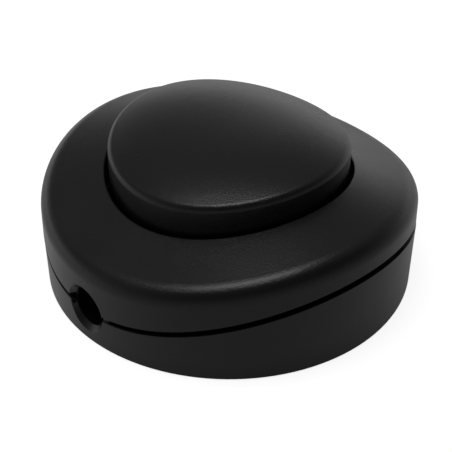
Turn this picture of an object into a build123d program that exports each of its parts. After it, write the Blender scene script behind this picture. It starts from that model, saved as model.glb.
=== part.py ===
"""Foot switch for a lamp cord: a round two-part housing with an arched seam and a round foot button.

Origin: middle of the underside. +Z is up. The cord runs along X, with one inlet at each end.
All sizes are in millimetres.
"""
import os

from build123d import *

os.makedirs("parts", exist_ok=True)

# Housing outline
girth_radius = 33.0           # at the seam
base_taper = 0.2              # how much narrower the underside is
crown_taper = 0.25            # how much narrower the upper shell is under its rounded edge
housing_wall = 2.5
top_thickness = 2.2
floor_thickness = 2.0
foot_chamfer = 0.2
rim_rounding = 3.2

# Seam between the two shells: an arch along the cord
seam_side_height = 14.7       # beside the button
seam_end_height = 6.4         # at the cord inlets
seam_gap_side = 1.15
seam_gap_end = 1.15
seam_lip = 0.3                # of the base shell's edge, outside its groove
seam_groove_depth = 1.1
tongue_thickness = 1.2
tongue_overlap = 1.8
tongue_clearance = 0.15
tongue_end_clearance = 0.4

# Top face of the upper shell, given at the button opening and at the rim
opening_radius = 21.5
opening_side_height = 21.9
opening_end_height = 18.5
rim_setback = 2.5             # from the girth to the circle where the rim's heights are given
rim_side_height = 20.5
rim_end_height = 15.7
opening_edge_rounding = 0.3
collar_thickness = 1.5
collar_underside = 15.0

# Foot button
button_gap = 0.7
button_height = 28.2
button_arch_radius = 68.0     # along the cord
button_crown_radius = 320.0   # across the cord
button_edge_fall = 1.2        # further fall of the top towards its edge
button_rounding = 1.3
button_wall = 1.8
button_rib_count = 8
button_rib_thickness = 1.2
button_rib_gap = 2.0          # above the plunger
flange_width = 1.5
flange_thickness = 1.5
flange_gap = 0.3
press_travel = 4.0
guide_rib_count = 4
guide_rib_thickness = 1.6
guide_rib_length = 6.0
guide_rib_clearance = 0.3

# Cord inlets, cord saddles and cord clamps
inlet_radius = 3.5
inlet_flare = 1.1
inlet_sleeve_thickness = 1.8
inlet_sleeve_length = 1.1     # inwards from the wall
cord_groove_radius = 3.1
clamp_setback = 4.0           # from the wall's inner face
clamp_screw_spacing = 15.0
clamp_bar_width = 5.0
clamp_bar_thickness = 2.0
clamp_groove_radius = 2.95
clamp_boss_radius = 2.6
clamp_boss_height = 9.2
saddle_width = 2.0

# Housing screws, driven from below
housing_screw_setback = 4.1   # from the wall's inner face
housing_boss_radius = 4.0
housing_boss_height = 8.0
housing_post_radius = 3.2
housing_recess_depth = 4.0
housing_recess_clearance = 0.3
housing_screw_length = 11.5

# Screws
screw_shank_radius = 1.25
screw_head_radius = 2.3
screw_head_height = 1.5
screw_slot_width = 0.6
screw_slot_depth = 0.7
screw_thread_clearance = 0.05
screw_passing_clearance = 0.2
screw_tip_clearance = 0.5
clamp_screw_length = 6.5
plunger_screw_length = 5.0
plunger_screw_head_radius = 2.0
post_screw_shank_radius = 0.9
post_screw_length = 6.0
terminal_screw_radius = 1.5

# Rotor on its post
post_radius = 2.0
post_height = 12.9
post_boss_radius = 4.0
post_boss_height = 3.1
rotor_washer_thickness = 0.2
rotor_bore_clearance = 0.06
rotor_end_play = 0.3
rotor_disc_radius = 8.6
rotor_disc_thickness = 2.0
rotor_hub_radius = 4.9
rotor_spigot_radius = 3.0
rotor_spigot_length = 1.0
rotor_peg_radius = 0.8
rotor_peg_distance = 6.8
dog_count = 4
dog_outer_radius = 8.3
dog_angle = 38.0
dog_flank_clearance = 3.0     # degrees on each flank
turn_per_press = 45.0         # degrees

# Plunger under the button
lug_engagement = 1.2
lug_end_clearance = 0.8
plunger_bore_clearance = 0.3
plunger_flange_radius = 13.0
plunger_flange_thickness = 1.6
plunger_sleeve_length = 1.6
plunger_screw_distance = 10.7
button_boss_radius = 2.3

# Return spring and its seat
spring_radius = 3.6
spring_wire_radius = 0.45
spring_turns = 6
spring_end_gap = 0.05
spring_seat_radius = 4.7
spring_seat_thickness = 0.8
spring_spigot_clearance = 0.25
spring_spigot_length = 3.0

# Contacts and terminals
bridge_reach = 11.5
bridge_width = 4.0
bridge_ring_radius = 4.8
bridge_thickness = 0.7
bridge_fit_clearance = 0.05
contact_distance = 10.0
contact_radius = 1.4
contact_thickness = 0.5
fixed_contact_radius = 1.6
strip_thickness = 0.8
strip_width = 4.4
strip_end = 8.3
terminal_setback = 11.0       # from the cord clamp
terminal_length = 6.0
terminal_width = 7.0
terminal_top = 8.8
wire_bore_radius = 1.5
wire_bore_height = 5.6
neutral_gap = 0.45            # from the end of the bridge's sweep to the terminal's rib
neutral_length = 16.0
neutral_width = 4.6
neutral_screw_spacing = 10.0
terminal_rib_thickness = 1.2
terminal_rib_height = 3.0
terminal_rib_clearance = 0.15

# Heights and radii that follow from the sizes above
base_radius = girth_radius - base_taper
crown_radius = girth_radius - crown_taper
rim_radius = girth_radius - rim_setback
inner_radius = girth_radius - housing_wall
inlet_sleeve_end = inner_radius - inlet_sleeve_length
clamp_distance = inner_radius - clamp_setback
housing_screw_distance = inner_radius - housing_screw_setback
terminal_distance = clamp_distance - terminal_setback
neutral_distance = (bridge_reach + neutral_gap + terminal_rib_thickness
                    + terminal_rib_clearance + neutral_width / 2)
tongue_radius = inner_radius + tongue_thickness
tongue_side_height = seam_side_height + seam_gap_side / 2 + tongue_overlap
tongue_end_height = seam_end_height + seam_gap_end / 2 + tongue_overlap
cord_height = seam_end_height
button_radius = opening_radius - button_gap
button_inner_radius = button_radius - button_wall
button_ceiling = button_height - button_wall
flange_radius = button_radius + flange_width
flange_top = collar_underside - flange_gap
flange_bottom = flange_top - flange_thickness
rotor_washer_top = post_boss_height + rotor_washer_thickness
rotor_bottom = rotor_washer_top + rotor_end_play
disc_bottom = rotor_bottom + rotor_spigot_length
disc_top = disc_bottom + rotor_disc_thickness
dog_top = post_height - rotor_end_play
lug_bottom = dog_top - lug_engagement
sleeve_bottom = dog_top + press_travel + lug_end_clearance
plunger_flange_bottom = sleeve_bottom + plunger_sleeve_length
plunger_top = plunger_flange_bottom + plunger_flange_thickness
plunger_bore_radius = rotor_hub_radius + plunger_bore_clearance
turn_per_mm = turn_per_press / press_travel
lug_start = 180 / dog_count + turn_per_mm * (lug_bottom - disc_top)
bridge_bottom = disc_bottom - bridge_thickness
strip_top = floor_thickness + strip_thickness
spring_seat_top = post_height + spring_seat_thickness
thread_radius = screw_shank_radius + screw_thread_clearance
beyond = 4 * girth_radius


def arc_radius(fall, half_width):
    """Radius of the arc that falls by this much over half its width."""
    return (half_width ** 2 + fall ** 2) / (2 * fall)


def top_height(x, y):
    """Height of the upper shell's top face: an arch along the cord that flattens towards the rim."""
    opening, rim = opening_radius ** 2, rim_radius ** 2
    beyond_opening = x * x + y * y - opening
    side_slope = (opening_side_height - rim_side_height) / (rim - opening)
    opening_arch = (opening_side_height - opening_end_height) / opening
    rim_arch = (rim_side_height - rim_end_height) / rim
    flattening = (opening_arch - rim_arch) / (rim - opening)
    arch = opening_arch - flattening * beyond_opening
    return opening_side_height - side_slope * beyond_opening - arch * x * x


def button_top_height(x, y):
    """Height of the button's top face: two shallow arches, and a steeper fall near the edge."""
    arches = x * x / (2 * button_arch_radius) + y * y / (2 * button_crown_radius)
    return button_height - arches - button_edge_fall * ((x * x + y * y) / button_radius ** 2) ** 2


def space_above(height, radius, lowering=0):
    """Everything above a curved face that covers this radius, or above the same face lowered."""
    steps = 12
    places = [radius * 1.4 * (2 * i / steps - 1) for i in range(steps + 1)]
    points = [[Vector(x, y, height(x, y) - lowering) for y in places] for x in places]
    face = Face.make_surface_from_array_of_points(points, tol=1e-3, min_deg=3, max_deg=6)
    return Solid.extrude(face, Vector(0, 0, beyond))


def space_above_seam(side_height, end_height):
    """Everything above an arch that runs from the two sides down to the cord inlets."""
    radius = arc_radius(side_height - end_height, girth_radius)
    with BuildPart() as space:
        with BuildSketch(Plane.XZ):
            with Locations((0, side_height)):
                Rectangle(beyond, beyond)
            with Locations((0, side_height - radius)):
                Circle(radius, mode=Mode.SUBTRACT)
        extrude(amount=beyond / 2, both=True)
    return space.part


def space_below_seam(side_height, end_height):
    """Everything below such an arch."""
    radius = arc_radius(side_height - end_height, girth_radius)
    with BuildPart() as space:
        with BuildSketch(Plane.XZ):
            with Locations((0, side_height - radius)):
                Circle(radius)
        extrude(amount=beyond / 2, both=True)
    return space.part


def inlet_hole():
    """Both cord inlets, with their flared mouths, as the space to take away."""
    start = inlet_sleeve_end - inlet_sleeve_length / 2
    mouth = girth_radius - inlet_flare
    with BuildPart() as space:
        with BuildSketch(Plane.XZ):
            with BuildLine():
                Polyline((start, cord_height), (start, cord_height + inlet_radius),
                         (mouth, cord_height + inlet_radius),
                         (girth_radius + inlet_flare, cord_height + inlet_radius + 2 * inlet_flare),
                         (girth_radius + inlet_flare, cord_height), close=True)
            make_face()
        revolve(axis=Axis((0, 0, cord_height), (1, 0, 0)))
        mirror(about=Plane.YZ)
    return space.part


def inlet_sleeves():
    """The short tubes behind the two cord inlets, before the seam parts them."""
    with BuildPart() as sleeves:
        for side in (-1, 1):
            with BuildSketch(Plane.YZ.offset(side * inlet_sleeve_end)):
                with Locations((0, cord_height)):
                    Circle(inlet_radius + inlet_sleeve_thickness)
            extrude(amount=side * (tongue_radius - inlet_sleeve_end))
    return sleeves.part


def twisted_dogs(bottom, top, inner, outer, width, start):
    """A ring of dogs, each this many degrees wide, that turn as they rise."""
    height = top - bottom
    with BuildSketch(Plane.XY.offset(bottom)) as section:
        with BuildLine():
            lower = start - width / 2
            CenterArc((0, 0), inner, lower, width)
            CenterArc((0, 0), outer, lower, width)
            Line((PolarLine((0, 0), inner, lower, mode=Mode.PRIVATE) @ 1),
                 (PolarLine((0, 0), outer, lower, mode=Mode.PRIVATE) @ 1))
            Line((PolarLine((0, 0), inner, lower + width, mode=Mode.PRIVATE) @ 1),
                 (PolarLine((0, 0), outer, lower + width, mode=Mode.PRIVATE) @ 1))
        make_face()
    dog = Solid.extrude_linear_with_rotation(
        section.sketch.face(), (0, 0, bottom), (0, 0, height), turn_per_mm * height)
    return [dog.rotate(Axis.Z, 360 / dog_count * turn) for turn in range(dog_count)]


def screw(seat, shank_radius, head_radius, length):
    """A slotted screw along +Z or -Z of its seat: the head in front of the seat, the shank behind."""
    with BuildPart(seat) as body:
        Cylinder(head_radius, screw_head_height, align=(Align.CENTER, Align.CENTER, Align.MIN))
        Cylinder(shank_radius, length, align=(Align.CENTER, Align.CENTER, Align.MAX))
        with Locations((0, 0, screw_head_height)):
            Box(2 * head_radius, screw_slot_width, 2 * screw_slot_depth, mode=Mode.SUBTRACT)
    return body.part


above_top = space_above(top_height, girth_radius)
above_top_inside = space_above(top_height, girth_radius, top_thickness)
above_button = space_above(button_top_height, button_radius)
above_button_inside = space_above(button_top_height, button_radius, button_wall)
above_base = space_above_seam(
    seam_side_height - seam_gap_side / 2, seam_end_height - seam_gap_end / 2)
below_upper = space_below_seam(
    seam_side_height + seam_gap_side / 2, seam_end_height + seam_gap_end / 2)
below_groove = space_below_seam(
    seam_side_height - seam_gap_side / 2 - seam_groove_depth,
    seam_end_height - seam_gap_end / 2 - seam_groove_depth)
above_tongue = space_above_seam(tongue_side_height, tongue_end_height)
above_rebate = space_above_seam(
    tongue_side_height + tongue_end_clearance, tongue_end_height + tongue_end_clearance)
inlets = inlet_hole()
sleeves = inlet_sleeves()
clamp_places = [(x, y) for x in (-clamp_distance, clamp_distance)
                for y in (-clamp_screw_spacing / 2, clamp_screw_spacing / 2)]
housing_places = [(0, -housing_screw_distance), (0, housing_screw_distance)]
plunger_screw_places = [(0, -plunger_screw_distance), (0, plunger_screw_distance)]
neutral_screw_places = [(-neutral_screw_spacing / 2, -neutral_distance),
                        (neutral_screw_spacing / 2, -neutral_distance)]
live_screw_places = [(-terminal_distance, 0), (terminal_distance, 0)]

# The tongue of the base shell, which reaches up inside the upper shell
with BuildPart() as tongue:
    with BuildSketch(Plane.XY.offset(floor_thickness)):
        Circle(tongue_radius)
        Circle(inner_radius, mode=Mode.SUBTRACT)
    extrude(amount=beyond / 2)
    add(above_tongue, mode=Mode.SUBTRACT)

# The groove behind the base shell's edge, which keeps the seam dark
with BuildPart() as seam_groove:
    with BuildSketch(Plane.XY.offset(floor_thickness)):
        Circle(girth_radius - seam_lip)
        Circle(inner_radius, mode=Mode.SUBTRACT)
    extrude(amount=beyond / 2)
    add(below_groove, mode=Mode.SUBTRACT)

with BuildPart() as base_shell:
    with BuildSketch(Plane.XZ):
        with BuildLine():
            Polyline((0, 0), (base_radius - foot_chamfer, 0), (base_radius, foot_chamfer),
                     (girth_radius, seam_side_height), (0, seam_side_height), close=True)
        make_face()
    revolve(axis=Axis.Z)
    add(above_base, mode=Mode.SUBTRACT)
    add(seam_groove.part, mode=Mode.SUBTRACT)
    with BuildSketch(Plane.XY.offset(floor_thickness)):
        Circle(inner_radius)
    extrude(amount=beyond / 2, mode=Mode.SUBTRACT)
    add(tongue.part)
    add(sleeves - above_base)
    with BuildSketch(Plane.XY.offset(floor_thickness)):
        with Locations(*clamp_places):
            Circle(clamp_boss_radius)
    extrude(amount=clamp_boss_height - floor_thickness)
    with BuildSketch(Plane.XY.offset(floor_thickness)):
        with Locations((-clamp_distance, 0), (clamp_distance, 0)):
            Rectangle(saddle_width, clamp_screw_spacing - clamp_boss_radius)
    extrude(amount=cord_height - floor_thickness)
    with BuildSketch(Plane.YZ):
        with Locations((0, cord_height)):
            Circle(cord_groove_radius)
    extrude(amount=inlet_sleeve_end, both=True, mode=Mode.SUBTRACT)
    add(inlets, mode=Mode.SUBTRACT)
    with BuildSketch(Plane.XY.offset(floor_thickness)):
        with Locations(*housing_places):
            Circle(housing_boss_radius)
    extrude(amount=housing_boss_height - floor_thickness)
    with Locations(*[(x, y, 0) for x, y in housing_places]):
        Cylinder(screw_head_radius + housing_recess_clearance, housing_recess_depth,
                 align=(Align.CENTER, Align.CENTER, Align.MIN), mode=Mode.SUBTRACT)
        Cylinder(screw_shank_radius + screw_passing_clearance, housing_boss_height,
                 align=(Align.CENTER, Align.CENTER, Align.MIN), mode=Mode.SUBTRACT)
    with BuildSketch(Plane.XY.offset(floor_thickness)):
        Circle(post_boss_radius)
    extrude(amount=post_boss_height - floor_thickness)
    with BuildSketch(Plane.XY.offset(floor_thickness)):
        Circle(post_radius)
    extrude(amount=post_height - floor_thickness)
    with Locations((0, 0, post_height)):
        Cylinder(post_screw_shank_radius + screw_thread_clearance, post_screw_length,
                 align=(Align.CENTER, Align.CENTER, Align.MAX), mode=Mode.SUBTRACT)
    with Locations(*[(x, y, clamp_boss_height) for x, y in clamp_places]):
        Cylinder(thread_radius, clamp_screw_length - clamp_bar_thickness + screw_tip_clearance,
                 align=(Align.CENTER, Align.CENTER, Align.MAX), mode=Mode.SUBTRACT)
    with BuildSketch(Plane.XY.offset(floor_thickness)):
        for side in (-1, 1):
            rib_place = terminal_width / 2 + terminal_rib_clearance + terminal_rib_thickness / 2
            with Locations((side * terminal_distance, rib_place), (side * terminal_distance, -rib_place)):
                Rectangle(terminal_length, terminal_rib_thickness)
            neutral_rib = neutral_width / 2 + terminal_rib_clearance + terminal_rib_thickness / 2
            with Locations((0, -neutral_distance + side * neutral_rib)):
                Rectangle(neutral_length / 3, terminal_rib_thickness)
    extrude(amount=terminal_rib_height)
base_shell.part.label = "base_shell"
export_step(base_shell.part, "parts/base_shell.step")

# The collar inside the upper shell that guides the button
with BuildPart() as collar:
    with BuildSketch(Plane.XY.offset(collar_underside)):
        Circle(opening_radius + collar_thickness)
    extrude(amount=opening_side_height - collar_underside)
    add(above_top, mode=Mode.SUBTRACT)

with BuildPart() as cavity:
    with BuildSketch():
        Circle(inner_radius)
    extrude(amount=opening_side_height)
    add(above_top_inside, mode=Mode.SUBTRACT)

with BuildPart() as rebate:
    with BuildSketch():
        Circle(tongue_radius + tongue_clearance)
    extrude(amount=opening_side_height)
    add(above_rebate, mode=Mode.SUBTRACT)

with BuildPart() as top_shell:
    with BuildSketch(Plane.XZ):
        with BuildLine():
            Polyline((0, 0), (girth_radius, 0), (girth_radius, seam_end_height),
                     (crown_radius, opening_side_height), (crown_radius, button_height),
                     (0, button_height), close=True)
        make_face()
    revolve(axis=Axis.Z)
    add(above_top, mode=Mode.SUBTRACT)
    rim = top_shell.faces().sort_by(Axis.Z)[-1].outer_wire()
    fillet(rim.edges(), rim_rounding)
    add(cavity.part, mode=Mode.SUBTRACT)
    add(collar.part)
    with BuildSketch():
        Circle(opening_radius)
    extrude(amount=button_height, mode=Mode.SUBTRACT)
    opening_edge = (top_shell.edges().filter_by(lambda edge: edge.geom_type != GeomType.LINE)
                    .sort_by(Axis.Z)[-1])
    fillet(opening_edge, opening_edge_rounding)
    add(sleeves - below_upper)
    add(below_upper, mode=Mode.SUBTRACT)
    with BuildSketch(Plane.XY.offset(housing_boss_height)):
        with Locations(*housing_places):
            Circle(housing_post_radius)
    extrude(amount=rim_side_height - top_thickness / 2 - housing_boss_height)
    add(rebate.part - cavity.part, mode=Mode.SUBTRACT)
    with BuildSketch(Plane.XY.offset(collar_underside)):
        with PolarLocations(0, guide_rib_count, 180 / guide_rib_count):
            with Locations((button_radius + guide_rib_clearance, 0)):
                Rectangle(opening_radius + collar_thickness - button_radius - guide_rib_clearance,
                          guide_rib_thickness, align=(Align.MIN, Align.CENTER))
    extrude(amount=-guide_rib_length)
    add(inlets, mode=Mode.SUBTRACT)
    with Locations(*[(x, y, housing_boss_height) for x, y in housing_places]):
        Cylinder(thread_radius, housing_screw_length - housing_boss_height + housing_recess_depth
                 + screw_tip_clearance, align=(Align.CENTER, Align.CENTER, Align.MIN),
                 mode=Mode.SUBTRACT)
top_shell.part.label = "top_shell"
export_step(top_shell.part, "parts/top_shell.step")

# Ribs and bosses under the button, cut to its curved top
with BuildPart() as button_inside:
    with BuildSketch(Plane.XY.offset(plunger_top + button_rib_gap)):
        with PolarLocations(0, button_rib_count, 180 / button_rib_count):
            with Locations((plunger_bore_radius, 0)):
                Rectangle(button_inner_radius - plunger_bore_radius + button_wall / 2,
                          button_rib_thickness, align=(Align.MIN, Align.CENTER))
    extrude(amount=button_height - plunger_top)
    with BuildSketch(Plane.XY.offset(plunger_top)):
        with Locations(*plunger_screw_places):
            Circle(button_boss_radius)
    extrude(amount=button_height - plunger_top)
    with BuildSketch(Plane.XY.offset(button_ceiling - spring_spigot_length)):
        Circle(spring_radius - spring_wire_radius - spring_spigot_clearance)
    extrude(amount=button_height - button_ceiling + spring_spigot_length)
    add(space_above(button_top_height, button_radius, button_wall / 2), mode=Mode.SUBTRACT)

with BuildPart() as button_hollow:
    with BuildSketch(Plane.XY.offset(flange_bottom)):
        Circle(button_inner_radius)
    extrude(amount=button_height)
    add(above_button_inside, mode=Mode.SUBTRACT)
    fillet(button_hollow.faces().sort_by(Axis.Z)[-1].outer_wire().edges(),
           button_rounding - button_wall / 2)

with BuildPart() as foot_button:
    with BuildSketch(Plane.XY.offset(flange_bottom)):
        Circle(button_radius)
    extrude(amount=button_height)
    add(above_button, mode=Mode.SUBTRACT)
    fillet(foot_button.faces().sort_by(Axis.Z)[-1].outer_wire().edges(), button_rounding)
    add(button_hollow.part, mode=Mode.SUBTRACT)
    with BuildSketch(Plane.XY.offset(flange_bottom)):
        Circle(flange_radius)
        Circle(button_radius - button_wall / 2, mode=Mode.SUBTRACT)
        with PolarLocations(0, guide_rib_count, 180 / guide_rib_count):
            with Locations((button_radius, 0)):
                Rectangle(2 * flange_width, guide_rib_thickness + 2 * guide_rib_clearance,
                          align=(Align.MIN, Align.CENTER), mode=Mode.SUBTRACT)
    extrude(amount=flange_thickness)
    add(button_inside.part)
    with Locations(*[(x, y, plunger_top) for x, y in plunger_screw_places]):
        Cylinder(thread_radius, plunger_screw_length - plunger_flange_thickness + screw_tip_clearance,
                 align=(Align.CENTER, Align.CENTER, Align.MIN), mode=Mode.SUBTRACT)
foot_button.part.label = "foot_button"
export_step(foot_button.part, "parts/foot_button.step")

with BuildPart() as drive_plunger:
    with BuildSketch(Plane.XY.offset(plunger_flange_bottom)):
        Circle(plunger_flange_radius)
    extrude(amount=plunger_flange_thickness)
    with BuildSketch(Plane.XY.offset(sleeve_bottom)):
        Circle(dog_outer_radius)
    extrude(amount=plunger_sleeve_length)
    for lug in twisted_dogs(lug_bottom, sleeve_bottom, plunger_bore_radius, dog_outer_radius,
                            360 / dog_count - dog_angle - 2 * dog_flank_clearance,
                            lug_start):
        add(lug)
    with Locations((0, 0, sleeve_bottom)):
        Cylinder(plunger_bore_radius, beyond, mode=Mode.SUBTRACT)
    with Locations(*[(x, y, plunger_flange_bottom) for x, y in plunger_screw_places]):
        Cylinder(screw_shank_radius + screw_passing_clearance, beyond, mode=Mode.SUBTRACT)
drive_plunger.part.label = "drive_plunger"
export_step(drive_plunger.part, "parts/drive_plunger.step")

with BuildPart() as cam_rotor:
    with BuildSketch(Plane.XY.offset(disc_bottom)):
        Circle(rotor_disc_radius)
    extrude(amount=rotor_disc_thickness)
    with BuildSketch(Plane.XY.offset(disc_bottom)):
        Circle(rotor_hub_radius)
    extrude(amount=dog_top - disc_bottom)
    with BuildSketch(Plane.XY.offset(rotor_bottom)):
        Circle(rotor_spigot_radius)
    extrude(amount=rotor_spigot_length)
    for dog in twisted_dogs(disc_top, dog_top, rotor_hub_radius / 2, dog_outer_radius, dog_angle, 0):
        add(dog)
    with BuildSketch(Plane.XY.offset(disc_bottom)):
        with Locations((0, rotor_peg_distance), (0, -rotor_peg_distance)):
            Circle(rotor_peg_radius)
    extrude(amount=-bridge_thickness)
    with Locations((0, 0, rotor_bottom)):
        Cylinder(post_radius + rotor_bore_clearance, beyond, mode=Mode.SUBTRACT)
cam_rotor.part.label = "cam_rotor"
export_step(cam_rotor.part, "parts/cam_rotor.step")

with BuildPart() as contact_bridge:
    with BuildSketch(Plane.XY.offset(bridge_bottom)):
        Circle(bridge_ring_radius)
        SlotOverall(2 * bridge_reach, bridge_width, rotation=90)
        Circle(rotor_spigot_radius + bridge_fit_clearance, mode=Mode.SUBTRACT)
        with Locations((0, rotor_peg_distance), (0, -rotor_peg_distance)):
            Circle(rotor_peg_radius + bridge_fit_clearance, mode=Mode.SUBTRACT)
    extrude(amount=bridge_thickness)
contact_bridge.part.label = "contact_bridge"
export_step(contact_bridge.part, "parts/contact_bridge.step")

with BuildPart() as bridge_contacts:
    with BuildSketch(Plane.XY.offset(bridge_bottom)):
        with Locations((0, contact_distance), (0, -contact_distance)):
            Circle(contact_radius)
    extrude(amount=-contact_thickness)
bridge_contacts.part.label = "bridge_contacts"
export_step(bridge_contacts.part, "parts/bridge_contacts.step")

with BuildPart() as rotor_washer:
    with BuildSketch(Plane.XY.offset(post_boss_height)):
        Circle(post_boss_radius)
        Circle(post_radius + screw_thread_clearance, mode=Mode.SUBTRACT)
    extrude(amount=rotor_washer_thickness)
rotor_washer.part.label = "rotor_washer"
export_step(rotor_washer.part, "parts/rotor_washer.step")

with BuildPart() as spring_seat:
    with BuildSketch(Plane.XY.offset(post_height)):
        Circle(spring_seat_radius)
        Circle(post_screw_shank_radius + screw_thread_clearance, mode=Mode.SUBTRACT)
    extrude(amount=spring_seat_thickness)
spring_seat.part.label = "spring_seat"
export_step(spring_seat.part, "parts/spring_seat.step")

post_screw = screw(Plane.XY.offset(spring_seat_top), post_screw_shank_radius, screw_head_radius,
                   post_screw_length)
post_screw.label = "post_screw"
export_step(post_screw, "parts/post_screw.step")

with BuildPart() as return_spring:
    coil_bottom = spring_seat_top + spring_wire_radius + spring_end_gap
    coil_top = button_ceiling - spring_wire_radius - spring_end_gap
    with BuildLine(Plane.XY.offset(coil_bottom)) as coil:
        Helix((coil_top - coil_bottom) / spring_turns, coil_top - coil_bottom, spring_radius)
    with BuildSketch(Plane(coil.line @ 0, z_dir=coil.line % 0)):
        Circle(spring_wire_radius)
    sweep(path=coil.line, is_frenet=True)
return_spring.part.label = "return_spring"
export_step(return_spring.part, "parts/return_spring.step")


def live_terminal(side):
    """A live terminal: the strip under the bridge and the block that takes the cord's wire."""
    with BuildPart() as terminal:
        near, far = strip_end, terminal_distance + terminal_length / 2
        with BuildSketch(Plane.XY.offset(floor_thickness)):
            with Locations((side * (near + far) / 2, 0)):
                Rectangle(far - near, strip_width)
        extrude(amount=strip_thickness)
        with BuildSketch(Plane.XY.offset(floor_thickness)):
            with Locations((side * terminal_distance, 0)):
                Rectangle(terminal_length, terminal_width)
        extrude(amount=terminal_top - floor_thickness)
        with BuildSketch(Plane.YZ.offset(side * far)):
            with Locations((0, wire_bore_height)):
                Circle(wire_bore_radius)
        extrude(amount=-side * (terminal_length / 2 + 2 * wire_bore_radius), mode=Mode.SUBTRACT)
        with Locations((side * terminal_distance, 0, terminal_top)):
            Cylinder(terminal_screw_radius + screw_thread_clearance, terminal_top - wire_bore_height,
                     align=(Align.CENTER, Align.CENTER, Align.MAX), mode=Mode.SUBTRACT)
    return terminal.part


supply_terminal = live_terminal(-1)
supply_terminal.label = "supply_terminal"
export_step(supply_terminal, "parts/supply_terminal.step")
lamp_terminal = live_terminal(1)
lamp_terminal.label = "lamp_terminal"
export_step(lamp_terminal, "parts/lamp_terminal.step")

with BuildPart() as fixed_contacts:
    with BuildSketch(Plane.XY.offset(strip_top)):
        with Locations((-contact_distance, 0), (contact_distance, 0)):
            Circle(fixed_contact_radius)
    extrude(amount=contact_thickness)
fixed_contacts.part.label = "fixed_contacts"
export_step(fixed_contacts.part, "parts/fixed_contacts.step")

with BuildPart() as neutral_terminal:
    with BuildSketch(Plane.XY.offset(floor_thickness)):
        with Locations((0, -neutral_distance)):
            Rectangle(neutral_length, neutral_width)
    extrude(amount=terminal_top - floor_thickness)
    with BuildSketch(Plane.YZ):
        with Locations((-neutral_distance, wire_bore_height)):
            Circle(wire_bore_radius)
    extrude(amount=neutral_length, both=True, mode=Mode.SUBTRACT)
    with Locations(*[(x, y, terminal_top) for x, y in neutral_screw_places]):
        Cylinder(terminal_screw_radius + screw_thread_clearance, terminal_top - wire_bore_height,
                 align=(Align.CENTER, Align.CENTER, Align.MAX), mode=Mode.SUBTRACT)
neutral_terminal.part.label = "neutral_terminal"
export_step(neutral_terminal.part, "parts/neutral_terminal.step")


def cord_clamp(side):
    """A bar across the cord, with a groove for it and two screw holes."""
    with BuildPart() as bar:
        with BuildSketch(Plane.XY.offset(clamp_boss_height)):
            with Locations((side * clamp_distance, 0)):
                SlotCenterToCenter(clamp_screw_spacing, clamp_bar_width, rotation=90)
        extrude(amount=clamp_bar_thickness)
        with BuildSketch(Plane.YZ):
            with Locations((0, cord_height)):
                Circle(clamp_groove_radius)
        extrude(amount=inlet_sleeve_end, both=True, mode=Mode.SUBTRACT)
        with Locations((side * clamp_distance, clamp_screw_spacing / 2, clamp_boss_height),
                       (side * clamp_distance, -clamp_screw_spacing / 2, clamp_boss_height)):
            Cylinder(screw_shank_radius + screw_passing_clearance, 3 * clamp_bar_thickness,
                     mode=Mode.SUBTRACT)
    return bar.part


supply_clamp = cord_clamp(-1)
supply_clamp.label = "supply_clamp"
export_step(supply_clamp, "parts/supply_clamp.step")
lamp_clamp = cord_clamp(1)
lamp_clamp.label = "lamp_clamp"
export_step(lamp_clamp, "parts/lamp_clamp.step")

clamp_screws = Compound(label="clamp_screws", children=[
    screw(Plane((x, y, clamp_boss_height + clamp_bar_thickness)),
          screw_shank_radius, screw_head_radius, clamp_screw_length) for x, y in clamp_places])
export_step(clamp_screws, "parts/clamp_screws.step")

terminal_screws = Compound(label="terminal_screws", children=[
    screw(Plane((x, y, terminal_top)), terminal_screw_radius, screw_head_radius,
          terminal_top - wire_bore_height) for x, y in live_screw_places + neutral_screw_places])
export_step(terminal_screws, "parts/terminal_screws.step")

plunger_screws = Compound(label="plunger_screws", children=[
    screw(Plane((x, y, plunger_flange_bottom), z_dir=(0, 0, -1)),
          screw_shank_radius, plunger_screw_head_radius, plunger_screw_length)
    for x, y in plunger_screw_places])
export_step(plunger_screws, "parts/plunger_screws.step")

housing_screws = Compound(label="housing_screws", children=[
    screw(Plane((x, y, housing_recess_depth), z_dir=(0, 0, -1)),
          screw_shank_radius, screw_head_radius, housing_screw_length) for x, y in housing_places])
export_step(housing_screws, "parts/housing_screws.step")
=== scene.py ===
from math import cos, pi, radians, sin

import bmesh
import bpy
from bpy.props import FloatProperty, IntProperty, PointerProperty, StringProperty
from mathutils import Matrix, Vector


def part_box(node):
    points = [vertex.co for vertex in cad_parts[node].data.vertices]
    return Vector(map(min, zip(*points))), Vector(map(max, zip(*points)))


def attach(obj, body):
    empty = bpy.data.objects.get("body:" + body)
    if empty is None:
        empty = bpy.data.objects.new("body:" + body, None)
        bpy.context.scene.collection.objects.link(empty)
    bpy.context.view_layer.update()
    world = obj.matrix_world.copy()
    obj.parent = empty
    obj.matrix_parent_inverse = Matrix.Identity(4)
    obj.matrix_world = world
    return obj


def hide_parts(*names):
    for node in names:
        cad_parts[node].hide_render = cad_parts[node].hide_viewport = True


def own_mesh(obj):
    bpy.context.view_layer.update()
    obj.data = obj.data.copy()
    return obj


bl_info = {
    "name": "Foot Switch",
    "version": (1, 0, 0),
    "blender": (4, 5, 0),
    "location": "View3D > Sidebar > Foot Switch",
    "description": "Dresses a round foot switch with an arched seam for a studio picture",
    "category": "Object",
}

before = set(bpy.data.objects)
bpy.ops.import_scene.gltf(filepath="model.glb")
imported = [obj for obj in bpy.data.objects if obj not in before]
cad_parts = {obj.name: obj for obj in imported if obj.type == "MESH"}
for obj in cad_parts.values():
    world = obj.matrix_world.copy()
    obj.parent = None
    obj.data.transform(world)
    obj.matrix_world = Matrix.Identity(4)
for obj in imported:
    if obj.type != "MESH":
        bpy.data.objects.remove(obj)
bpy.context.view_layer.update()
MM = 0.001

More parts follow.
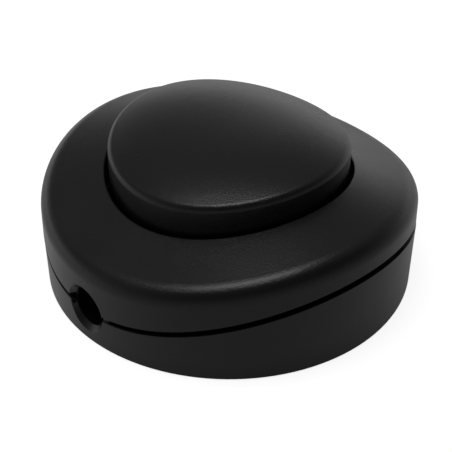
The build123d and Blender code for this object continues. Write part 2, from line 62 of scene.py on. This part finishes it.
SENSOR_WIDTH = 36              # of the camera, in millimetres, as its lens is
PLASTIC_IOR = 1.5              # typical of ABS, acetal and polyamide
NEUTRAL_SCREW_SPAN = 10 / 16   # from screw to screw, as a share of the neutral terminal's length

# The studio round the switch, which gives it its even light and its reflections. Each fade goes from one
# strength to another between two readings. A direction's reading is its height, from 0 at the horizon to 1
# overhead, or how far it points to the bright side behind the switch, from -1 to 1.
BRIGHT_SIDE = (-0.2, 1.0, 0.12, 0.88)   # the horizon, dim round the camera and bright behind the switch
LOW_BAND = (0.0, 0.5, 1.2, 0.0)         # how that light dies away above the horizon
CEILING = (0.55, 0.9, 1.0, 1.3)         # the studio level, and what it rises to overhead
CAMERA_SIDE = (-0.6, 0.2, 0.35, 1.0)    # how much darker the studio is round the camera

FINISHES = {
    "Black ABS, spark-eroded grain": ("base_shell", "top_shell", "foot_button"),
    "Natural acetal, moulded": ("drive_plunger",),
    "Red polyamide, moulded": ("cam_rotor",),
    "Grey polyamide, moulded": ("supply_clamp", "lamp_clamp"),
    "Brass, stamped": ("contact_bridge", "supply_terminal", "lamp_terminal", "neutral_terminal"),
    "Silver, pressed": ("bridge_contacts", "fixed_contacts"),
    "Steel, zinc plated": ("rotor_washer", "spring_seat", "post_screw", "terminal_screws",
                           "clamp_screws", "plunger_screws", "housing_screws"),
    "Spring steel, drawn": ("return_spring",),
}


def length_property(name, description, millimetres):
    """A length that a user would change, given in millimetres and kept in metres."""
    return FloatProperty(name=name, description=description, default=millimetres * MM,
                         unit="LENGTH", subtype="DISTANCE", precision=5)


def colour_property(name, description, value):
    """A colour as the sRGB hex value that a paint chart would give."""
    return StringProperty(name=name, description=description + ", as an sRGB hex value", default=value)


class FootSwitchScrews(bpy.types.PropertyGroup):
    """Sizes of the screws."""
    head_radius: length_property("Head radius", "Radius of the pan heads", 2.3)
    plunger_head_radius: length_property("Plunger head radius", "Radius of the heads under the plunger", 2.0)
    head_height: length_property("Head height", "Height of the pan heads", 1.5)
    slot_width: length_property("Slot width", "Width of the screwdriver slots", 0.6)
    slot_depth: length_property("Slot depth", "Depth of the screwdriver slots", 0.7)
    shank_radius: length_property("Shank radius", "Outer radius of the threads", 1.25)
    terminal_shank_radius: length_property("Terminal shank radius", "Thread radius at the terminals", 1.5)
    post_shank_radius: length_property("Post shank radius", "Thread radius of the screw in the post", 0.9)
    thread_pitch: length_property("Thread pitch", "Rise of the threads in one turn", 0.9)
    thread_depth: length_property("Thread depth", "Height of the threads", 0.25)
    seed: IntProperty(name="Seed", description="Chance by which the slots are turned", default=4, min=0)


class FootSwitchSpring(bpy.types.PropertyGroup):
    """Sizes of the return spring."""
    coil_radius: length_property("Coil radius", "From the axis to the middle of the wire", 3.6)
    wire_radius: length_property("Wire radius", "Half the thickness of the wire", 0.45)
    turns: FloatProperty(name="Turns", description="Turns from end to end", default=6.0, min=3.0)
    closed_turns: FloatProperty(name="Closed turns", description="Turns wound close at each end",
                                default=1.0, min=0.0, max=1.5)
    seat_height: length_property("Seat height", "Height that the spring stands on", 13.7)
    travel: length_property("Travel", "How far a press shortens the spring", 4.0)


class FootSwitchColours(bpy.types.PropertyGroup):
    """Colours of the mouldings and metals."""
    black: colour_property("Black ABS", "Colour of the housing and the button", "#111112")
    natural: colour_property("Natural acetal", "Colour of the plunger", "#e6e1d4")
    red: colour_property("Red polyamide", "Colour of the rotor", "#a8281f")
    grey: colour_property("Grey polyamide", "Colour of the cord clamps", "#8d8f91")
    brass: colour_property("Brass", "Colour of the terminals", "#d6b25e")
    silver: colour_property("Silver", "Colour of the contact faces", "#e8e6e1")
    zinc: colour_property("Zinc plating", "Colour of the screws and washers", "#c3c6cb")
    spring: colour_property("Spring steel", "Colour of the return spring", "#9b9ca0")


class FootSwitchStage(bpy.types.PropertyGroup):
    """Where the camera and the softbox stand, and how bright the floor and the studio are."""
    azimuth: FloatProperty(
        name="Azimuth", description="Turn of the camera about the switch, 0 looks along +Y",
        default=radians(-43.9), subtype="ANGLE", unit="ROTATION")
    elevation: FloatProperty(
        name="Elevation", description="Height of the camera above the horizon",
        default=radians(36.0), subtype="ANGLE", unit="ROTATION")
    distance: length_property("Distance", "From the camera to the point it looks at", 197.1)
    aim_height: length_property("Aim height", "Height of the point that the camera looks at", 6.62)
    aim_side: length_property("Aim side", "How far that point lies to the picture's right", -0.56)
    clip_start: length_property("Clip start", "Nearest distance that the camera sees", 5.0)
    lens: FloatProperty(name="Lens", description="Focal length in millimetres on a 36 mm sensor",
                        default=87.03)
    background: colour_property("Background", "Colour of the floor and the backdrop", "#ffffff")
    overhead: FloatProperty(name="Overhead light", description="Power of the overhead softbox in watts",
                            default=0.62, unit="POWER")
    softbox_height: length_property("Softbox height", "How high the softbox hangs", 500.0)
    softbox_left: length_property("Softbox left", "How far it hangs to the picture's left", 60.0)
    softbox_near: length_property("Softbox near", "How far it hangs towards the camera", 25.0)
    softbox_width: length_property("Softbox width", "Its side along the picture", 285.0)
    softbox_depth: length_property("Softbox depth", "Its side away from the camera", 200.0)
    floor_radius: length_property("Floor radius", "Radius of the paper under the switch", 1200.0)
    paper: FloatProperty(name="Paper", description="Share of the light that the paper gives back",
                         default=0.55, min=0.0, max=1.0)
    floor_glow: FloatProperty(name="Floor glow", description="Lifts the floor to white for the camera",
                              default=0.85)
    # The floor's glow in reflections is a painted reflection: dim near the camera, brighter behind the
    # switch.
    near_floor: FloatProperty(name="Near floor", description="Glow of the near floor in reflections",
                              default=0.06)
    far_floor: FloatProperty(name="Far floor", description="Glow of the far floor in reflections",
                             default=0.22)
    near_floor_end: length_property("Near floor end", "Where the near floor starts to brighten", -50.0)
    far_floor_start: length_property("Far floor start", "Where the far floor has its full glow", 10.0)
    glow_turn: FloatProperty(
        name="Glow turn", description="How far to the left of straight behind the bright side lies",
        default=radians(21.0), subtype="ANGLE", unit="ROTATION")
    ceiling: FloatProperty(name="Studio level", description="How bright the dim studio is", default=0.21)


def linear(hex_colour):
    """An sRGB hex colour as the linear RGBA that a socket takes."""
    channels = [int(hex_colour[i:i + 2], 16) / 255 for i in (1, 3, 5)]
    return [c / 12.92 if c <= 0.04045 else ((c + 0.055) / 1.055) ** 2.4 for c in channels] + [1.0]


def add_node(tree, kind, inputs=(), **settings):
    """Adds a node, sets its properties, and fills or links its inputs."""
    node = tree.nodes.new(kind)
    for key, value in settings.items():
        setattr(node, key, value)
    for key, value in dict(inputs).items():
        if isinstance(value, bpy.types.NodeSocket):
            tree.links.new(value, node.inputs[key])
        else:
            node.inputs[key].default_value = value
    return node


def new_material(name):
    """An empty node material, and its tree."""
    material = bpy.data.materials.new(name)
    material.use_nodes = True
    material.node_tree.nodes.clear()
    return material, material.node_tree


def moulded_plastic(name, hex_colour, roughness, grain_mm, grain_depth_mm, flow_mm=14, unevenness=0.02):
    """An injection moulded plastic. Its tool's grain breaks up the highlights, and the flow of the melt
    leaves wide patches that are a little duller or glossier."""
    material, tree = new_material(name)
    place = add_node(tree, "ShaderNodeTexCoord").outputs["Object"]
    grain = add_node(tree, "ShaderNodeTexNoise",
                     {"Vector": place, "Scale": 1 / (grain_mm * MM), "Detail": 3.0, "Roughness": 0.6})
    flow = add_node(tree, "ShaderNodeTexNoise",
                    {"Vector": place, "Scale": 1 / (flow_mm * MM), "Detail": 2.0, "Roughness": 0.5})
    sheen = add_node(tree, "ShaderNodeMapRange",
                     {"Value": flow.outputs["Fac"], "From Min": 0.35, "From Max": 0.65,
                      "To Min": roughness - unevenness, "To Max": roughness + unevenness})
    bump = add_node(tree, "ShaderNodeBump",
                    {"Height": grain.outputs["Fac"], "Strength": 1.0, "Distance": grain_depth_mm * MM})
    shader = add_node(tree, "ShaderNodeBsdfPrincipled",
                      {"Base Color": linear(hex_colour), "Roughness": sheen.outputs["Result"],
                       "IOR": PLASTIC_IOR, "Normal": bump.outputs["Normal"]})
    add_node(tree, "ShaderNodeOutputMaterial", {"Surface": shader.outputs["BSDF"]})


def worked_metal(name, hex_colour, roughness, grain_mm, grain_depth_mm=0.01, unevenness=0.08):
    """A metal whose fine scratches or plating grain vary its polish."""
    material, tree = new_material(name)
    place = add_node(tree, "ShaderNodeTexCoord").outputs["Object"]
    grain = add_node(tree, "ShaderNodeTexNoise",
                     {"Vector": place, "Scale": 1 / (grain_mm * MM), "Detail": 4.0, "Roughness": 0.6})
    polish = add_node(tree, "ShaderNodeMapRange",
                      {"Value": grain.outputs["Fac"], "From Min": 0.3, "From Max": 0.7,
                       "To Min": roughness - unevenness, "To Max": roughness + unevenness})
    bump = add_node(tree, "ShaderNodeBump",
                    {"Height": grain.outputs["Fac"], "Strength": 0.4, "Distance": grain_depth_mm * MM})
    shader = add_node(tree, "ShaderNodeBsdfPrincipled",
                      {"Base Color": linear(hex_colour), "Metallic": 1.0,
                       "Roughness": polish.outputs["Result"], "Normal": bump.outputs["Normal"]})
    add_node(tree, "ShaderNodeOutputMaterial", {"Surface": shader.outputs["BSDF"]})


def finished_materials():
    """Every finish of the switch, made once and kept by its name."""
    if "Black ABS, spark-eroded grain" in bpy.data.materials:
        return bpy.data.materials
    colours = bpy.context.scene.switch_colours
    # ABS out of a spark-eroded tool is satin, and its fine pits turn a highlight into soft sparkles. The
    # grain is drawn coarser and deeper than the real one, which is too fine to show.
    moulded_plastic("Black ABS, spark-eroded grain", colours.black, 0.28, 0.28, 0.04)
    # Undyed acetal out of a smooth tool is creamy white, with a waxy sheen.
    moulded_plastic("Natural acetal, moulded", colours.natural, 0.38, 0.3, 0.004)
    # Polyamide takes a deep colour and is duller than acetal.
    moulded_plastic("Red polyamide, moulded", colours.red, 0.4, 0.3, 0.004)
    # The cord clamps' polyamide looks flat and dry, as their tool has a rougher face.
    moulded_plastic("Grey polyamide, moulded", colours.grey, 0.45, 0.3, 0.006)
    # Brass stamped out of rolled strip is bright yellow, with fine marks of the rolls.
    worked_metal("Brass, stamped", colours.brass, 0.28, 0.15)
    # Silver pressed into the contacts' faces is pale and the smoothest of the metals.
    worked_metal("Silver, pressed", colours.silver, 0.25, 0.1)
    # Zinc plating makes steel a cool, pale grey with a fine, cloudy grain.
    worked_metal("Steel, zinc plated", colours.zinc, 0.3, 0.1)
    # Spring wire has the darker satin skin that drawing through a die leaves.
    worked_metal("Spring steel, drawn", colours.spring, 0.35, 0.08)
    return bpy.data.materials


def place_mesh(name, bm):
    """The built mesh as an object at the origin."""
    mesh = bpy.data.meshes.new(name)
    bm.to_mesh(mesh)
    bm.free()
    piece = bpy.data.objects.new(name, mesh)
    bpy.context.scene.collection.objects.link(piece)
    return piece


def make_plain(piece):
    """Turns what the modifiers make into the piece's own mesh and takes the modifiers off."""
    shape = piece.evaluated_get(bpy.context.evaluated_depsgraph_get())
    mesh = bpy.data.meshes.new_from_object(shape)
    piece.modifiers.clear()
    old = piece.data
    piece.data = mesh
    mesh.name = piece.name
    bpy.data.meshes.remove(old)


def smooth(piece, sharp_angle=35):
    """Smooth faces with sharp edges where they turn by more than this many degrees."""
    piece.data.shade_smooth()
    piece.data.set_sharp_from_angle(angle=radians(sharp_angle))


def set_input(modifier, name, value):
    """Sets a node modifier's input by its socket's identifier."""
    socket = next(item for item in modifier.node_group.interface.items_tree
                  if item.item_type == "SOCKET" and item.in_out == "INPUT" and item.name == name)
    modifier[socket.identifier] = value


def grown(piece, tree, inputs):
    """Lets a node tree grow the piece from its named inputs, and keeps the result as a plain mesh."""
    modifier = piece.modifiers.new(tree.name, "NODES")
    modifier.node_group = tree
    for name, value in inputs.items():
        set_input(modifier, name, value)
    make_plain(piece)


def new_tree(name, floats=(), integers=(), vectors=()):
    """An empty geometry tree with its named inputs, a finish and its output, and the input's sockets."""
    tree = bpy.data.node_groups.new(name, "GeometryNodeTree")
    kinds = [("Geometry", "Geometry")]
    kinds += [(given, "Float") for given in floats]
    kinds += [(given, "Int") for given in integers]
    kinds += [(given, "Vector") for given in vectors]
    kinds += [("Finish", "Material")]
    for given, kind in kinds:
        tree.interface.new_socket(given, in_out="INPUT", socket_type="NodeSocket" + kind)
    tree.interface.new_socket("Geometry", in_out="OUTPUT", socket_type="NodeSocketGeometry")
    return tree, add_node(tree, "NodeGroupInput").outputs


def end_tree(tree, geometry, finish):
    """Ends a geometry tree with real geometry in its finish."""
    real = add_node(tree, "GeometryNodeRealizeInstances", {"Geometry": geometry})
    dressed = add_node(tree, "GeometryNodeSetMaterial", {"Geometry": real.outputs[0], "Material": finish})
    add_node(tree, "NodeGroupOutput", {"Geometry": dressed.outputs[0]})
    return tree


def wound_wire_tree():
    """Nodes that wind a wire about Z, with closed turns at both ends: a spring or a screw's thread."""
    tree = bpy.data.node_groups.get("Wound wire")
    if tree:
        return tree
    tree, given = new_tree("Wound wire", ("Radius", "Bottom", "Rise", "Turns", "Closed turns", "Wire radius"),
                           ("Sides", "Steps a turn"))
    spiral = add_node(tree, "GeometryNodeCurveSpiral",
                      {"Resolution": given["Steps a turn"], "Rotations": given["Turns"],
                       "Start Radius": given["Radius"], "End Radius": given["Radius"],
                       "Height": given["Rise"]})

    # Each turn climbs by the wire's thickness, and the open turns share the rest of the rise.
    values = {name: given[name] for name in ("Bottom", "Rise", "Turns", "Closed turns", "Wire radius")}
    values["along"] = add_node(tree, "GeometryNodeSplineParameter").outputs["Factor"]
    for name, operation, *parts in (
            ("turn", "MULTIPLY", "along", "Turns"),
            ("closed pitch", "MULTIPLY", "Wire radius", 2.0),
            ("closed turns of both ends", "MULTIPLY", "Closed turns", 2.0),
            ("open turns", "SUBTRACT", "Turns", "closed turns of both ends"),
            ("closed rise", "MULTIPLY", "closed pitch", "Turns"),
            ("rest", "SUBTRACT", "Rise", "closed rise"),
            ("turn past the closed ones", "SUBTRACT", "turn", "Closed turns"),
            ("turn from the first open one", "MAXIMUM", "turn past the closed ones", 0.0),
            ("open turn", "MINIMUM", "turn from the first open one", "open turns"),
            ("rest times open turn", "MULTIPLY", "rest", "open turn"),
            ("share of the rest", "DIVIDE", "rest times open turn", "open turns"),
            ("climb", "MULTIPLY_ADD", "turn", "closed pitch", "share of the rest"),
            ("height", "ADD", "climb", "Bottom")):
        inputs = {index: values.get(part, part) for index, part in enumerate(parts)}
        values[name] = add_node(tree, "ShaderNodeMath", inputs, operation=operation).outputs[0]

    place = add_node(tree, "ShaderNodeSeparateXYZ",
                     {0: add_node(tree, "GeometryNodeInputPosition").outputs[0]}).outputs
    risen = add_node(tree, "ShaderNodeCombineXYZ",
                     {"X": place["X"], "Y": place["Y"], "Z": values["height"]})
    path = add_node(tree, "GeometryNodeSetPosition",
                    {"Geometry": spiral.outputs[0], "Position": risen.outputs[0]})
    upright = add_node(tree, "GeometryNodeSetCurveNormal", {"Curve": path.outputs[0]}, mode="Z_UP")
    section = add_node(tree, "GeometryNodeCurvePrimitiveCircle",
                       {"Resolution": given["Sides"], "Radius": given["Wire radius"]})
    wire = add_node(tree, "GeometryNodeCurveToMesh",
                    {"Curve": upright.outputs[0], "Profile Curve": section.outputs[0], "Fill Caps": True})
    return end_tree(tree, wire.outputs[0], given["Finish"])


def seats_tree():
    """Nodes that set a copy of the piece in each seat of a grid, its slot turned by chance."""
    tree = bpy.data.node_groups.get("Screws in their seats")
    if tree:
        return tree
    tree, given = new_tree("Screws in their seats", ("Spacing X", "Spacing Y"),
                           ("Count X", "Count Y", "Seed"), ("Middle",))
    grid = add_node(tree, "GeometryNodeMeshGrid",
                    {"Size X": given["Spacing X"], "Size Y": given["Spacing Y"],
                     "Vertices X": given["Count X"], "Vertices Y": given["Count Y"]})
    moved = add_node(tree, "GeometryNodeSetPosition",
                     {"Geometry": grid.outputs[0], "Offset": given["Middle"]})
    seats = add_node(tree, "GeometryNodeMeshToPoints", {"Mesh": moved.outputs[0]})
    chance = add_node(tree, "FunctionNodeRandomValue",
                      {"Min": (0, 0, 0), "Max": (0, 0, pi), "Seed": given["Seed"]},
                      data_type="FLOAT_VECTOR")
    rotation = add_node(tree, "FunctionNodeEulerToRotation", {0: chance.outputs[0]})
    screws = add_node(tree, "GeometryNodeInstanceOnPoints",
                      {"Points": seats.outputs[0], "Instance": given["Geometry"],
                       "Rotation": rotation.outputs[0]})
    return end_tree(tree, screws.outputs[0], given["Finish"])


def turned(name, profile, steps):
    """Turns a profile of (radius, height), from pole to pole, about Z into a closed solid."""
    bm = bmesh.new()
    rings = []
    for radius, height in profile:
        count = steps if radius > 0 else 1
        rings.append([bm.verts.new((radius * cos(2 * pi * step / steps),
                                    radius * sin(2 * pi * step / steps), height))
                      for step in range(count)])
    for lower, upper in zip(rings, rings[1:]):
        for step in range(steps):
            after = (step + 1) % steps
            corners = [lower[step % len(lower)], lower[after % len(lower)],
                       upper[after % len(upper)], upper[step % len(upper)]]
            bm.faces.new(list(dict.fromkeys(corners)))
    bmesh.ops.recalc_face_normals(bm, faces=bm.faces)
    return place_mesh(name, bm)


def cut_slot(piece, width, reach, top, depth):
    """Cuts a screwdriver slot across a screw's head, as far as the reach on both sides."""
    bm = bmesh.new()
    bmesh.ops.create_cube(bm, size=1.0, matrix=Matrix.Translation((0, 0, top))
                          @ Matrix.Diagonal((2 * reach, width, 2 * depth, 1)))
    tool = place_mesh("slot", bm)
    modifier = piece.modifiers.new("slot", "BOOLEAN")
    modifier.object = tool
    modifier.operation = "DIFFERENCE"
    modifier.solver = "EXACT"
    make_plain(piece)
    bpy.data.objects.remove(tool)


def threaded_screw(name, sizes, head_radius, shank_radius, length, head_down):
    """A slotted pan head screw with its seat at the origin. Its thread is coarser than a real one, so that
    it shows, and has four sides for a sharp crest."""
    around, edge_steps, past_head = 40, 5, 1.2
    top, rounding = sizes.head_height, sizes.head_height / 3
    core = shank_radius - sizes.thread_depth
    tip = core / 3
    edge = []
    for step in range(edge_steps + 1):
        angle = pi / 2 * step / edge_steps
        edge.append((head_radius - rounding * (1 - sin(angle)), top - rounding * (1 - cos(angle))))
    profile = [(0, top)] + edge + [(head_radius, 0), (core, 0), (core, core - length),
                                   (tip, -length), (0, -length)]
    screw = turned(name, profile, around)
    cut_slot(screw, sizes.slot_width, past_head * head_radius, top, sizes.slot_depth)

    rise = length - core - sizes.thread_depth
    thread = place_mesh("thread", bmesh.new())
    grown(thread, wound_wire_tree(), {
        "Radius": core, "Bottom": core - length, "Rise": rise, "Turns": rise / sizes.thread_pitch,
        "Closed turns": 0.0, "Wire radius": sizes.thread_depth, "Sides": 4, "Steps a turn": 24})
    bm = bmesh.new()
    bm.from_mesh(screw.data)
    bm.from_mesh(thread.data)
    if head_down:
        bmesh.ops.rotate(bm, verts=bm.verts, matrix=Matrix.Rotation(pi, 3, "X"))
    bmesh.ops.recalc_face_normals(bm, faces=bm.faces)
    bm.to_mesh(screw.data)
    bm.free()
    bpy.data.objects.remove(thread)
    return screw


class SWITCH_OT_stage(bpy.types.Operator):
    """Makes the camera, the softbox, the floor and the surroundings"""
    bl_idname = "switch.stage"
    bl_label = "Stage"

    def execute(self, context):
        stage = context.scene.switch_stage
        turn, rise = stage.azimuth, stage.elevation
        back = Vector((sin(turn) * cos(rise), -cos(turn) * cos(rise), sin(rise)))
        right = Vector((cos(turn), sin(turn), 0))
        aim = right * stage.aim_side + Vector((0, 0, stage.aim_height))

        camera = bpy.data.objects.new("camera", bpy.data.cameras.new("camera"))
        camera.data.lens = stage.lens
        camera.data.sensor_width = SENSOR_WIDTH
        camera.data.clip_start = stage.clip_start
        camera.location = aim + back * stage.distance
        camera.rotation_euler = (-back).to_track_quat("-Z", "Y").to_euler()
        context.scene.collection.objects.link(camera)
        context.scene.camera = camera

        self.softbox(context, stage, right)
        self.floor(stage)
        self.surroundings(context, stage)
        context.scene.view_settings.view_transform = "Standard"
        return {"FINISHED"}

    def away(self, turn):
        """The level direction away from a camera at this azimuth."""
        return Vector((-sin(turn), cos(turn), 0))

    def looked_at(self, tree):
        """1 for what the camera sees, straight or through something clear, and 0 for every other ray."""
        rays = add_node(tree, "ShaderNodeLightPath").outputs
        return add_node(tree, "ShaderNodeMath",
                        {0: rays["Is Camera Ray"], 1: rays["Is Transmission Ray"]},
                        operation="MAXIMUM").outputs[0]

    def bright_side(self, tree, stage, place):
        """How far a place or a direction lies towards the bright side, behind the switch."""
        return add_node(tree, "ShaderNodeVectorMath",
                        {0: place, 1: self.away(stage.azimuth + stage.glow_turn)},
                        operation="DOT_PRODUCT").outputs["Value"]

    def softbox(self, context, stage, right):
        """A rectangular light overhead, with its long side along the picture. It shines at the switch."""
        place = (Vector((0, 0, stage.softbox_height)) - stage.softbox_left * right
                 - stage.softbox_near * self.away(stage.azimuth))
        light = bpy.data.objects.new("overhead softbox", bpy.data.lights.new("overhead softbox", "AREA"))
        light.data.shape = "RECTANGLE"
        light.data.size, light.data.size_y = stage.softbox_width, stage.softbox_depth
        light.data.energy = stage.overhead
        outward = place.normalized()
        across = outward.cross(right).normalized()
        facing = Matrix((across.cross(outward), across, outward)).transposed()
        light.matrix_world = Matrix.Translation(place) @ facing.to_4x4()
        context.scene.collection.objects.link(light)

    def floor(self, stage):
        """A pale floor. Its own glow makes it white for the camera and leaves the switch's soft shadow.

        Reflections of a white floor and studio would turn the black plastic grey, so they see a weaker glow
        of the floor. That glow is a painted reflection of a floor lit from behind: dim round the camera and
        brighter behind the switch.
        """
        bm = bmesh.new()
        bmesh.ops.create_circle(bm, cap_ends=True, segments=96, radius=stage.floor_radius)
        floor = place_mesh("floor", bm)
        material, tree = new_material("Matt paper sweep")
        place = add_node(tree, "ShaderNodeTexCoord").outputs["Object"]
        # Painted reflection: a glow that only reflections see, fading from dim round the camera to brighter
        # behind the switch.
        painted_reflection_glow = add_node(tree, "ShaderNodeMapRange",
                       {"Value": self.bright_side(tree, stage, place),
                        "From Min": stage.near_floor_end, "From Max": stage.far_floor_start,
                        "To Min": stage.near_floor, "To Max": stage.far_floor},
                       interpolation_type="SMOOTHSTEP")
        reflected = add_node(tree, "ShaderNodeMath",
                             {0: add_node(tree, "ShaderNodeLightPath").outputs["Is Glossy Ray"],
                              1: painted_reflection_glow.outputs["Result"]}, operation="MULTIPLY")
        level = add_node(tree, "ShaderNodeMath",
                         {0: self.looked_at(tree), 1: stage.floor_glow, 2: reflected.outputs[0]},
                         operation="MULTIPLY_ADD")
        # Matt paper scatters light evenly and shows no reflection of the switch.
        paper = add_node(tree, "ShaderNodeBsdfDiffuse", {"Color": (stage.paper, stage.paper, stage.paper, 1)})
        glow = add_node(tree, "ShaderNodeEmission",
                        {"Color": linear(stage.background), "Strength": level.outputs[0]})
        both = add_node(tree, "ShaderNodeAddShader", {0: paper.outputs[0], 1: glow.outputs[0]})
        add_node(tree, "ShaderNodeOutputMaterial", {"Surface": both.outputs[0]})
        floor.data.materials.append(material)

    def surroundings(self, context, stage):
        """White for the camera, and for light and reflections a dim studio, brighter behind the switch."""
        world = bpy.data.worlds.new("studio")
        world.use_nodes = True
        tree = world.node_tree
        tree.nodes.clear()
        way = add_node(tree, "ShaderNodeTexCoord").outputs["Generated"]
        height = add_node(tree, "ShaderNodeSeparateXYZ", {0: way}).outputs["Z"]
        behind = self.bright_side(tree, stage, way)
        faded = []
        for reading, (start, end, first, last), level in (
                (behind, BRIGHT_SIDE, 1.0),
                (height, LOW_BAND, 1.0),
                (height, CEILING, stage.ceiling),
                (behind, CAMERA_SIDE, 1.0)):
            fade = add_node(tree, "ShaderNodeMapRange",
                            {"Value": reading, "From Min": start, "From Max": end,
                             "To Min": first * level, "To Max": last * level},
                            interpolation_type="SMOOTHSTEP")
            faded.append(fade.outputs["Result"])
        side, low, high, front = faded
        band = add_node(tree, "ShaderNodeMath", {0: side, 1: low}, operation="MULTIPLY")
        level = add_node(tree, "ShaderNodeMath", {0: high, 1: front, 2: band.outputs[0]},
                         operation="MULTIPLY_ADD")
        studio = add_node(tree, "ShaderNodeBackground", {"Strength": level.outputs[0]})
        white = add_node(tree, "ShaderNodeBackground",
                         {"Color": linear(stage.background), "Strength": 1.0})
        mix = add_node(tree, "ShaderNodeMixShader",
                       {0: self.looked_at(tree), 1: studio.outputs[0], 2: white.outputs[0]})
        add_node(tree, "ShaderNodeOutputWorld", {"Surface": mix.outputs[0]})
        context.scene.world = world


class SWITCH_OT_solids(bpy.types.Operator):
    """Gives each carried-over solid its finish"""
    bl_idname = "switch.solids"
    bl_label = "Solids"

    def execute(self, context):
        for finish, nodes in FINISHES.items():
            for node in nodes:
                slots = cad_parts[node].data.materials
                slots.clear()
                slots.append(finished_materials()[finish])
        return {"FINISHED"}


class SWITCH_OT_screws(bpy.types.Operator):
    """Makes the threaded screws of the housing, the clamps, the terminals, the plunger and the post"""
    bl_idname = "switch.screws"
    bl_label = "Screws"

    def execute(self, context):
        sizes = context.scene.switch_screws
        usual, shank = sizes.head_radius, sizes.shank_radius
        self.group(sizes, "case_screws", "housing_screws", "housing", usual, shank, (1, 2), True)
        self.group(sizes, "cord_clamp_screws", "clamp_screws", "housing", usual, shank, (2, 2), False)
        self.group(sizes, "spring_seat_screw", "post_screw", "housing", usual, sizes.post_shank_radius,
                   (1, 1), False)
        self.group(sizes, "plunger_plate_screws", "plunger_screws", "button",
                   sizes.plunger_head_radius, shank, (1, 2), True)
        self.terminals(sizes)
        return {"FINISHED"}

    def group(self, sizes, name, node, body, head_radius, shank_radius, counts, head_down):
        """Screws at the corners of the box that their node fills."""
        low, high = (Vector(corner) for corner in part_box(node))
        spacing = high - low - Vector((2 * head_radius, 2 * head_radius, sizes.head_height))
        middle = (low + high) / 2
        middle.z = low.z + sizes.head_height if head_down else high.z - sizes.head_height
        self.seat(sizes, name, node, body, head_radius, shank_radius, counts, head_down, spacing, middle)

    def terminals(self, sizes):
        """The screws of the two live terminals, and those of the neutral one on the camera's side."""
        low, high = (Vector(corner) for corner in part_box("terminal_screws"))
        neutral_low, neutral_high = (Vector(corner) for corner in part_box("neutral_terminal"))
        seat = high.z - sizes.head_height
        live = high - low - Vector((2 * sizes.head_radius, 0, sizes.head_height))
        neutral = live.copy()
        neutral.x = (neutral_high.x - neutral_low.x) * NEUTRAL_SCREW_SPAN
        middle = (neutral_low + neutral_high) / 2
        for name, spacing, place in (
                ("live_terminal_screws", live, Vector((0, 0, seat))),
                ("neutral_terminal_screws", neutral, Vector((0, middle.y, seat)))):
            self.seat(sizes, name, "terminal_screws", "housing", sizes.head_radius,
                      sizes.terminal_shank_radius, (2, 1), False, spacing, place)

    def seat(self, sizes, name, node, body, head_radius, shank_radius, counts, head_down, spacing, middle):
        """Makes one screw and sets it in every seat of a grid. The spacing's Z is the shank's length."""
        piece = threaded_screw(name, sizes, head_radius, shank_radius, spacing.z, head_down)
        grown(piece, seats_tree(), {
            "Spacing X": spacing.x, "Spacing Y": spacing.y, "Count X": counts[0], "Count Y": counts[1],
            "Seed": sizes.seed, "Middle": middle, "Finish": finished_materials()["Steel, zinc plated"]})
        smooth(piece)
        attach(piece, body)
        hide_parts(node)


class SWITCH_OT_spring(bpy.types.Operator):
    """Winds the return spring with closed ends"""
    bl_idname = "switch.spring"
    bl_label = "Return spring"

    def execute(self, context):
        sizes = context.scene.switch_spring
        low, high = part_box("return_spring")
        bottom, top = low[2] + sizes.wire_radius, high[2] - sizes.wire_radius
        spring = place_mesh("coil_spring", bmesh.new())
        grown(spring, wound_wire_tree(), {
            "Radius": sizes.coil_radius, "Bottom": bottom, "Rise": top - bottom, "Turns": sizes.turns,
            "Closed turns": sizes.closed_turns, "Wire radius": sizes.wire_radius, "Sides": 16,
            "Steps a turn": 64, "Finish": finished_materials()["Spring steel, drawn"]})
        smooth(spring)
        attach(spring, "housing")
        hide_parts("return_spring")
        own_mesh(spring)
        return {"FINISHED"}


class SWITCH_PT_sidebar(bpy.types.Panel):
    """The making of the foot switch, in order"""
    bl_label = "Foot Switch"
    bl_idname = "SWITCH_PT_sidebar"
    bl_space_type = "VIEW_3D"
    bl_region_type = "UI"
    bl_category = "Foot Switch"

    def draw(self, context):
        for operator in OPERATORS:
            self.layout.operator(operator.bl_idname)


OPERATORS = (SWITCH_OT_stage, SWITCH_OT_solids, SWITCH_OT_screws, SWITCH_OT_spring)
GROUPS = (
    ("switch_screws", FootSwitchScrews),
    ("switch_spring", FootSwitchSpring),
    ("switch_colours", FootSwitchColours),
    ("switch_stage", FootSwitchStage),
)


def register():
    for name, group in GROUPS:
        bpy.utils.register_class(group)
        setattr(bpy.types.Scene, name, PointerProperty(type=group))
    for operator in OPERATORS:
        bpy.utils.register_class(operator)
    bpy.utils.register_class(SWITCH_PT_sidebar)


def unregister():
    bpy.utils.unregister_class(SWITCH_PT_sidebar)
    for operator in reversed(OPERATORS):
        bpy.utils.unregister_class(operator)
    for name, group in reversed(GROUPS):
        delattr(bpy.types.Scene, name)
        bpy.utils.unregister_class(group)


def main():
    register()
    for operator in OPERATORS:
        group, name = operator.bl_idname.split(".")
        getattr(getattr(bpy.ops, group), name)()


if __name__ == "__main__":
    main()
